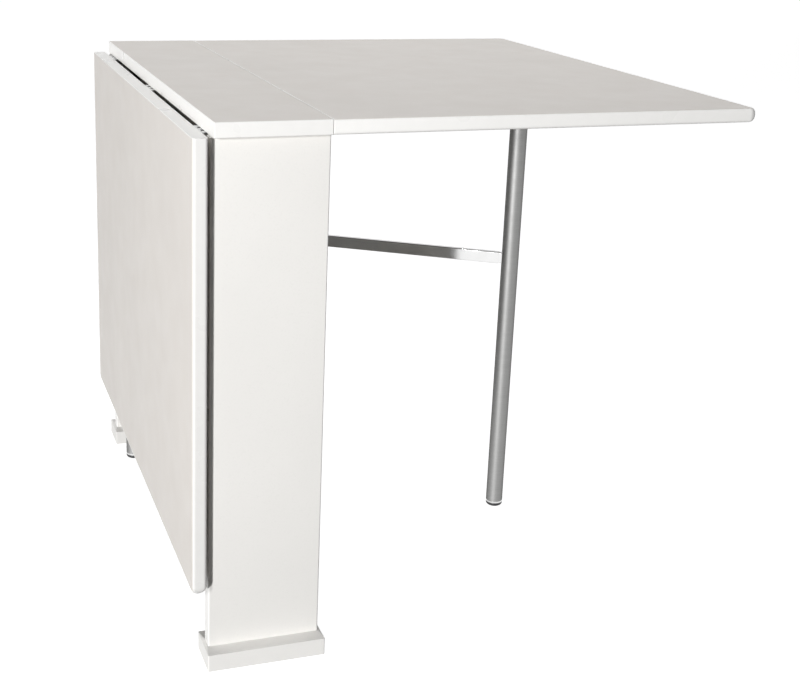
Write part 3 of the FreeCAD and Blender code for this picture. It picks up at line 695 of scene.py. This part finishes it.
def cap_profile(low, high):
    """Radius and height of the cap in the tube's top: a plug, a rim the size of the tube, and
    a pad with a rounded shoulder that meets the leaf."""
    r, plug, bend = LEG_RADIUS, PLUG_RADIUS, 0.0014
    t = np.linspace(0, math.pi / 2, 6)
    shoulder = np.stack([r - bend + bend * np.cos(t), high - bend + bend * np.sin(t)], axis=1)
    return np.array([(AXIS_RADIUS, low), (plug - 0.0012, low), (plug, low + 0.0015), (plug, TUBE_TOP),
                     (r - 0.0004, TUBE_TOP), (r - 0.0003, TUBE_TOP + 0.0005), (r, TUBE_TOP + 0.0008)]
                    + shoulder.tolist() + [(AXIS_RADIUS, high)])


def end_ring_profile(height):
    """Radius and height of the polished end of a leg tube: a shallow bead, 0.2 mm proud."""
    t = np.linspace(0, math.pi, 9)
    radius = LEG_RADIUS - 0.0001 + 0.0003 * np.sin(t)
    return np.stack([radius, FOOT_TOP + height * (1 - np.cos(t)) / 2], axis=1)


def edge_draw_in(depth, thickness, bend):
    """How far a rounded edge lies inside the board's side at a depth below one face: with m
    the distance to the nearer face, the bend less the root of bend squared less (bend - m)
    squared, and nothing where m is over the bend."""
    nearer = np.minimum(np.minimum(depth, thickness - depth), bend)
    return bend - np.sqrt(np.maximum(bend ** 2 - (bend - nearer) ** 2, 0.0))


def leaf_rings(length, end, thickness, settings):
    """Outlines of a leaf from its underside to its face, as run from the seam, place along the
    seam and height. Each is a rectangle with a quarter of an ellipse at each corner: at angle t
    from 0 to a quarter turn the point is the corner's middle plus (half axis along the run)
    times cos t and (half axis along the seam) times sin t. The sides draw in towards both faces
    by edge_draw_in, most at the free end, less along the two long sides, hardly at the seam. A
    slightly smaller outline in the plane of each face keeps the face flat up to its edge."""
    turn = np.linspace(0, math.pi / 2, 13)
    heights = thickness / 2 * (1 - np.cos(np.linspace(0, math.pi, 25)))
    corner, smaller = settings.leaf_corner, 0.998
    free_in = edge_draw_in(heights, thickness, settings.nose_bend)[:, None]
    side_in = edge_draw_in(heights, thickness, settings.side_bend)[:, None]
    seam_in = edge_draw_in(heights, thickness, settings.seam_bend)[:, None]
    far_run = length - corner + (corner - free_in) * np.cos(turn)
    far_side = end - corner + (corner - side_in) * np.sin(turn)
    near_run = SEAM_CORNER - (SEAM_CORNER - seam_in) * np.sin(turn)
    near_side = end - side_in - SEAM_CORNER / 2 * (1 - np.cos(turn))
    run = np.hstack([far_run, near_run, near_run[:, ::-1], far_run[:, ::-1]])
    place = np.hstack([far_side, near_side, -near_side[:, ::-1], -far_side[:, ::-1]])
    rings = np.stack([run, place, np.broadcast_to(heights[:, None], run.shape)], axis=-1)
    middle = np.array([length / 2, 0.0, 0.0])
    inward = (rings[[0, -1]] - middle) * (smaller, smaller, 1.0) + middle
    return np.concatenate([inward[:1], rings, inward[1:]])


# ---------------------------------------------------------------- operators


class TABLE_OT_leaves(bpy.types.Operator):
    """Make the two leaves, with rounded corners, a round free end and softened long sides"""

    bl_idname = "table.leaves"
    bl_label = "Leaves"

    def execute(self, context):
        settings = context.scene.table_laminate
        width, nose = settings.edging_width, settings.nose_bend
        ends = (("Y", 1, None), ("Y", -1, None))
        # painted light on the right leaf's edging and painted shade on the hanging left leaf's edging
        for side, more, share in (("right", (("X", 1, nose), ("X", -1, SEAM_EDGING)), RIGHT_EDGING_PAINTED_LIGHT),
                                  ("left", (("Z", 1, SEAM_EDGING), ("Z", -1, nose)), LEFT_EDGING_PAINTED_SHADE)):
            node = side + "_leaf"
            low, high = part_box(node)
            reach = high - low
            length, thickness = max(reach[0], reach[2]), min(reach[0], reach[2])
            run, place, height = np.moveaxis(leaf_rings(length, reach[1] / 2, thickness, settings), -1, 0)
            if side == "right":
                rings = np.stack([low[0] + run, place, low[2] + height], axis=-1)
            else:
                rings = np.stack([high[0] - height, place, high[2] - run], axis=-1)
            # the face colour carries painted shade: darker than the panels' same melamine
            finish = laminate_finish(side + " leaf laminate", settings, settings.face_white_and_shade,
                                     edges_of(node, width, ends + more), share)
            piece = put_mesh(side + "_leaf_board", [ring_stack(rings)], node, finish, 40.0)
            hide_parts(node)
        return {"FINISHED"}


class TABLE_OT_boards(bpy.types.Operator):
    """Finish the fixed top, the end panels and the drilled divider in white laminate"""

    bl_idname = "table.boards"
    bl_label = "Fixed top, end panels and divider"

    def execute(self, context):
        settings = context.scene.table_laminate
        width, white = settings.edging_width, settings.panel_white
        ends = (("Y", 1, None), ("Y", -1, None), ("X", 1, SEAM_EDGING), ("X", -1, SEAM_EDGING))
        # the face colour carries painted shade: darker than the panels' same melamine
        finish_node("fixed_top", laminate_finish("fixed top laminate", settings, settings.face_white_and_shade,
                                                 edges_of("fixed_top", width, ends)))
        for node in ("near_end_panel", "far_end_panel"):
            edges = edges_of(node, width, (("X", 1, None), ("X", -1, None)))
            finish_node(node, laminate_finish(node.replace("_", " ") + " laminate", settings, white, edges))
        finish_node("cabinet_divider", laminate_finish("drilled laminate", settings, white,
                                                       holes=cabinet_columns()))
        return {"FINISHED"}


def cabinet_columns():
    """The x of the front and back rows of shelf-pin holes, from the shelf pins themselves."""
    middles = [(solid.min(axis=0) + solid.max(axis=0))[0] / 2 for solid in separate_solids("shelf_pins")]
    return float(min(middles)), float(max(middles))


class TABLE_OT_cabinet(bpy.types.Operator):
    """Finish the cabinet's back, bottom, rail, stile and shelves"""

    bl_idname = "table.cabinet"
    bl_label = "Storage cabinet"

    def execute(self, context):
        settings = context.scene.table_laminate
        plain = shared("laminate", laminate_finish, "cabinet laminate", settings, settings.panel_white)
        for node in ("cabinet_back", "cabinet_bottom", "cabinet_top_rail", "cabinet_stile",
                     "near_lower_shelf", "near_upper_shelf", "far_lower_shelf", "far_upper_shelf"):
            finish_node(node, plain)
        finish_node("cabinet_dowels", shared("beech", beech_finish))
        finish_node("shelf_pins", shared("zinc", zinc_finish, context.scene.table_metal))
        return {"FINISHED"}


class TABLE_OT_shoes(bpy.types.Operator):
    """Finish the moulded shoes under the end panels"""

    bl_idname = "table.shoes"
    bl_label = "Moulded shoes"

    def execute(self, context):
        moulding = shared("moulding", moulding_finish, context.scene.table_laminate)
        for node in ("near_shoe", "far_shoe"):
            finish_node(node, moulding)
        return {"FINISHED"}


class TABLE_OT_hinges(bpy.types.Operator):
    """Finish the butt hinges' flaps and pins in zinc"""

    bl_idname = "table.hinges"
    bl_label = "Leaf hinges"

    def execute(self, context):
        zinc = shared("zinc", zinc_finish, context.scene.table_metal)
        for side in SIDES:
            for part in ("leaf_hinge_flaps", "top_hinge_flaps", "hinge_pins"):
                finish_node(f"{side}_{part}", zinc)
        return {"FINISHED"}


class TABLE_OT_screws(bpy.types.Operator):
    """Make the countersunk wood screws with cross recesses and threads"""

    bl_idname = "table.screws"
    bl_label = "Wood screws"

    def execute(self, context):
        metal = context.scene.table_metal
        zinc = shared("zinc", zinc_finish, metal)
        nodes = ["top_rail_screws"]
        for side in SIDES:
            nodes += [f"{side}_leaf_hinge_screws", f"{side}_top_hinge_screws", f"{side}_gate_bracket_screws"]
        for node in nodes:
            parts = [wood_screw(*screw_line(solid), metal) for solid in separate_solids(node)]
            if not parts:
                raise RuntimeError(f"no screws found in {node}")
            name = node.replace("_screws", "_wood_screws")
            piece = put_mesh(name, parts, node_body(node), zinc)
            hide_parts(node)
        return {"FINISHED"}


class TABLE_OT_legs(bpy.types.Operator):
    """Finish the leg tubes in satin steel and set a polished ring at each lower end"""

    bl_idname = "table.legs"
    bl_label = "Gate legs"

    def execute(self, context):
        metal = context.scene.table_metal
        steel = shared("steel", satin_steel_finish, metal)
        chrome = shared("chrome", chrome_finish, metal)
        outer = end_ring_profile(metal.ring_height)
        ring = np.vstack([outer, outer[::-1] - (RING_THICKNESS, 0.0)])
        for side in SIDES:
            finish_node(f"{side}_gate_leg", steel)
            rings = turned(ring, metal.round_steps, leg_axis(side))
            put_mesh(f"{side}_leg_end_ring", [ring_loop(rings)], f"{side}_gate", chrome, 50.0)
        return {"FINISHED"}


class TABLE_OT_feet(bpy.types.Operator):
    """Make the rounded black feet and the caps of the legs"""

    bl_idname = "table.feet"
    bl_label = "Feet and caps"

    def execute(self, context):
        metal = context.scene.table_metal
        black = shared("black", black_plastic_finish, metal)
        for side in SIDES:
            low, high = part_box(f"{side}_gate_cap")
            for name, node, profile in (
                    ("glide", "foot", rounded(foot_profile(), 0.0004)),
                    ("cap", "cap", rounded(cap_profile(low[2], high[2]), 0.0003))):
                skin = ring_stack(turned(profile, metal.round_steps, leg_axis(side)))
                piece = put_mesh(f"{side}_leg_{name}", [skin], f"{side}_gate", black)
                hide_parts(f"{side}_gate_{node}")
        return {"FINISHED"}


class TABLE_OT_bars(bpy.types.Operator):
    """Finish the swing bars, their saddles and their pivot sleeves in chrome"""

    bl_idname = "table.bars"
    bl_label = "Swing bars"

    def execute(self, context):
        chrome = shared("chrome", chrome_finish, context.scene.table_metal)
        for side in SIDES:
            for part in ("bar", "saddle", "sleeve"):
                finish_node(f"{side}_gate_{part}", chrome)
        return {"FINISHED"}


class TABLE_OT_brackets(bpy.types.Operator):
    """Finish the gate brackets, pivot pins and washers"""

    bl_idname = "table.brackets"
    bl_label = "Gate brackets"

    def execute(self, context):
        metal = context.scene.table_metal
        zinc = shared("zinc", zinc_finish, metal)
        nylon = shared("nylon", nylon_finish, metal)
        for side in SIDES:
            finish_node(f"{side}_gate_bracket", zinc)
            finish_node(f"{side}_gate_pin", zinc)
            finish_node(f"{side}_gate_washers", nylon)
        return {"FINISHED"}


def camera_axes(turn):
    """Right, up and forward of a camera turned to the right by the first angle, tilted up by
    the second and rolled by the third: forward = (sin turn cos tilt, cos turn cos tilt, sin
    tilt), right = forward x up, and right and up then turn round forward by the roll."""
    yaw, tilt, roll = turn
    forward = np.array([math.sin(yaw) * math.cos(tilt), math.cos(yaw) * math.cos(tilt), math.sin(tilt)])
    right = unit(np.cross(forward, (0, 0, 1)))
    up = np.cross(right, forward)
    return right * math.cos(roll) + up * math.sin(roll), up * math.cos(roll) - right * math.sin(roll), forward


def turn_of(right, up, forward):
    """The turn of a lamp or camera that looks along forward, with these right and up."""
    return Matrix(np.stack([right, up, -forward], axis=1).tolist()).to_4x4()


def hang(name, light, place, forward, mirrored):
    """Puts a light at the place, shining along forward. Only mirrors show it, if anything does."""
    forward = unit(forward)
    right = unit(np.cross(forward, (0, 0, 1)))
    holder = bpy.data.objects.new(name, light)
    turn = turn_of(right, np.cross(right, forward), forward)
    holder.matrix_world = Matrix.Translation(place.tolist()) @ turn
    holder.visible_camera = False
    holder.visible_glossy = mirrored
    bpy.context.scene.collection.objects.link(holder)


def add_lamp(name, power, size, place, target, mirrored=True):
    """A soft rectangular lamp that shines from the place at the target."""
    lamp = bpy.data.lights.new(name, "AREA")
    lamp.shape = "RECTANGLE"
    lamp.size, lamp.size_y = size
    lamp.energy = power
    hang(name, lamp, place, target - place, mirrored)


def add_sun(name, strength, width, towards, mirrored=True):
    """A light so far away that it is the same everywhere; width is how many degrees of the
    sky it fills."""
    light = bpy.data.lights.new(name, "SUN")
    light.energy = strength
    light.angle = math.radians(width)
    hang(name, light, 4 * unit(towards), -towards, mirrored)


def seen_share(tree):
    """1 for camera, glossy and transmission rays, 0 for the rest."""
    path = tree.nodes.new("ShaderNodeLightPath")
    share = path.outputs["Is Camera Ray"]
    for ray in ("Is Glossy Ray", "Is Transmission Ray"):
        either = tree.nodes.new("ShaderNodeMath")
        either.operation = "MAXIMUM"
        tree.links.new(share, either.inputs[0])
        tree.links.new(path.outputs[ray], either.inputs[1])
        share = either.outputs[0]
    return share


def floor_finish(settings):
    """Pale floor. Where it is seen, part of its white is its own light, so that it reads as
    white and still keeps the soft shadow of the table."""
    material = bpy.data.materials.new("studio floor")
    material.use_nodes = True
    tree = material.node_tree
    tree.nodes.clear()
    output = tree.nodes.new("ShaderNodeOutputMaterial")
    seen = seen_share(tree)
    paint = tree.nodes.new("ShaderNodeBsdfDiffuse")
    tone = tree.nodes.new("ShaderNodeMix")
    tone.data_type = "RGBA"
    bounce = settings.floor_bounce
    tree.links.new(seen, tone.inputs[0])
    tone.inputs[6].default_value = (bounce, bounce, bounce, 1.0)
    tone.inputs[7].default_value = (*settings.floor_white, 1.0)
    tree.links.new(tone.outputs[2], paint.inputs["Color"])
    glow = tree.nodes.new("ShaderNodeEmission")
    glow.inputs["Color"].default_value = (1.0, 1.0, 1.0, 1.0)
    strength = tree.nodes.new("ShaderNodeMath")
    strength.operation = "MULTIPLY"
    tree.links.new(seen, strength.inputs[0])
    strength.inputs[1].default_value = settings.floor_glow
    tree.links.new(strength.outputs[0], glow.inputs["Strength"])
    both = tree.nodes.new("ShaderNodeAddShader")
    tree.links.new(paint.outputs[0], both.inputs[0])
    tree.links.new(glow.outputs[0], both.inputs[1])
    tree.links.new(both.outputs[0], output.inputs["Surface"])
    return material


def lay_floor(settings):
    """One large square of floor at height zero."""
    reach = 40.0
    corners = [(-reach, -reach, 0), (reach, -reach, 0), (reach, reach, 0), (-reach, reach, 0)]
    mesh = bpy.data.meshes.new("floor")
    mesh.from_pydata(corners, [], [(0, 1, 2, 3)])
    mesh.materials.append(floor_finish(settings))
    floor = bpy.data.objects.new("floor", mesh)
    bpy.context.scene.collection.objects.link(floor)


def fill_air(settings):
    """The world: white where it is seen, and a little even light on everything."""
    world = bpy.data.worlds.new("studio air")
    bpy.context.scene.world = world
    world.use_nodes = True
    tree = world.node_tree
    tree.nodes.clear()
    output = tree.nodes.new("ShaderNodeOutputWorld")
    pick = tree.nodes.new("ShaderNodeMixShader")
    tree.links.new(seen_share(tree), pick.inputs[0])
    for socket, strength in ((pick.inputs[1], settings.room_light), (pick.inputs[2], 1.0)):
        air = tree.nodes.new("ShaderNodeBackground")
        air.inputs["Color"].default_value = (1.0, 1.0, 1.0, 1.0)
        air.inputs["Strength"].default_value = strength
        tree.links.new(air.outputs[0], socket)
    tree.links.new(pick.outputs[0], output.inputs["Surface"])


def hang_lamps(settings):
    """The low key light from the front left with a small lamp above it, a large lamp overhead,
    a soft light from behind and one on the right."""
    away, height = settings.key_turn
    towards_key = np.array([-math.sin(away) * math.cos(height), -math.cos(away) * math.cos(height),
                            math.sin(height)])
    towards_back = np.array([0.25, 1.0, 0.32])
    near_panel, table_top = np.array([(-0.30, -0.40, 0.62), (0.0, 0.05, 0.75)])
    near_place = near_panel + 1.8 * unit(towards_key + (0, 0, 0.22))
    overhead, right, middle = np.array([(0.1, 0.55, 2.6), (4.0, -0.4, 1.3), (-0.15, -0.2, 0.5)])
    add_sun("key light", settings.key_strength, 2.5, towards_key)
    add_sun("back light", settings.back_strength, 50.0, towards_back, mirrored=False)
    add_lamp("near lamp", settings.near_power, (0.20, 0.20), near_place, near_panel)
    add_lamp("top lamp", settings.top_power, (2.4, 1.8), overhead, table_top)
    add_lamp("side lamp", settings.side_power, (1.6, 1.4), right, middle, mirrored=False)


def set_camera(settings):
    """The camera, with its lens shifted sideways and down."""
    camera = bpy.data.cameras.new("camera")
    camera.sensor_width = 36.0
    camera.lens = settings.lens
    camera.shift_x, camera.shift_y = settings.lens_shift
    camera.clip_start, camera.clip_end = 0.05, 200.0
    holder = bpy.data.objects.new("camera", camera)
    turn = turn_of(*camera_axes(settings.camera_turn))
    holder.matrix_world = Matrix.Translation(settings.camera_place) @ turn
    bpy.context.scene.collection.objects.link(holder)
    bpy.context.scene.camera = holder


class TABLE_OT_studio(bpy.types.Operator):
    """Lay the floor, hang the lamps and set up the camera"""

    bl_idname = "table.studio"
    bl_label = "Studio"

    def execute(self, context):
        settings = context.scene.table_studio
        lay_floor(settings)
        fill_air(settings)
        hang_lamps(settings)
        set_camera(settings)
        context.scene.view_settings.view_transform = "Standard"
        return {"FINISHED"}


OPERATORS = (TABLE_OT_leaves, TABLE_OT_boards, TABLE_OT_cabinet, TABLE_OT_shoes, TABLE_OT_hinges,
             TABLE_OT_screws, TABLE_OT_legs, TABLE_OT_feet, TABLE_OT_bars, TABLE_OT_brackets,
             TABLE_OT_studio)


class TABLE_PT_pieces(bpy.types.Panel):
    """Lists the pieces of the table and the studio"""

    bl_idname = "TABLE_PT_pieces"
    bl_label = "Drop-leaf table"
    bl_space_type = "VIEW_3D"
    bl_region_type = "UI"
    bl_category = "Table"

    def draw(self, context):
        for operator in OPERATORS:
            self.layout.operator(operator.bl_idname)
        for settings in (context.scene.table_laminate, context.scene.table_metal, context.scene.table_studio):
            box = self.layout.box()
            for name in settings.bl_rna.properties.keys():
                if name not in ("rna_type", "name"):
                    box.prop(settings, name)


GROUPS = (("table_laminate", LaminateSettings), ("table_metal", MetalSettings),
          ("table_studio", StudioSettings))


def register():
    """Adds the settings to the scene, the operators and the panel."""
    for name, group in GROUPS:
        bpy.utils.register_class(group)
        setattr(bpy.types.Scene, name, PointerProperty(type=group))
    for operator in OPERATORS:
        bpy.utils.register_class(operator)
    bpy.utils.register_class(TABLE_PT_pieces)


def unregister():
    """Takes away what register added."""
    bpy.utils.unregister_class(TABLE_PT_pieces)
    for operator in reversed(OPERATORS):
        bpy.utils.unregister_class(operator)
    for name, group in reversed(GROUPS):
        delattr(bpy.types.Scene, name)
        bpy.utils.unregister_class(group)


def main():
    """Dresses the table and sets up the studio."""
    register()
    for step in (bpy.ops.table.leaves, bpy.ops.table.boards, bpy.ops.table.cabinet, bpy.ops.table.shoes,
                 bpy.ops.table.hinges, bpy.ops.table.screws, bpy.ops.table.legs, bpy.ops.table.feet,
                 bpy.ops.table.bars, bpy.ops.table.brackets, bpy.ops.table.studio):
        step()


if __name__ == "__main__":
    main()
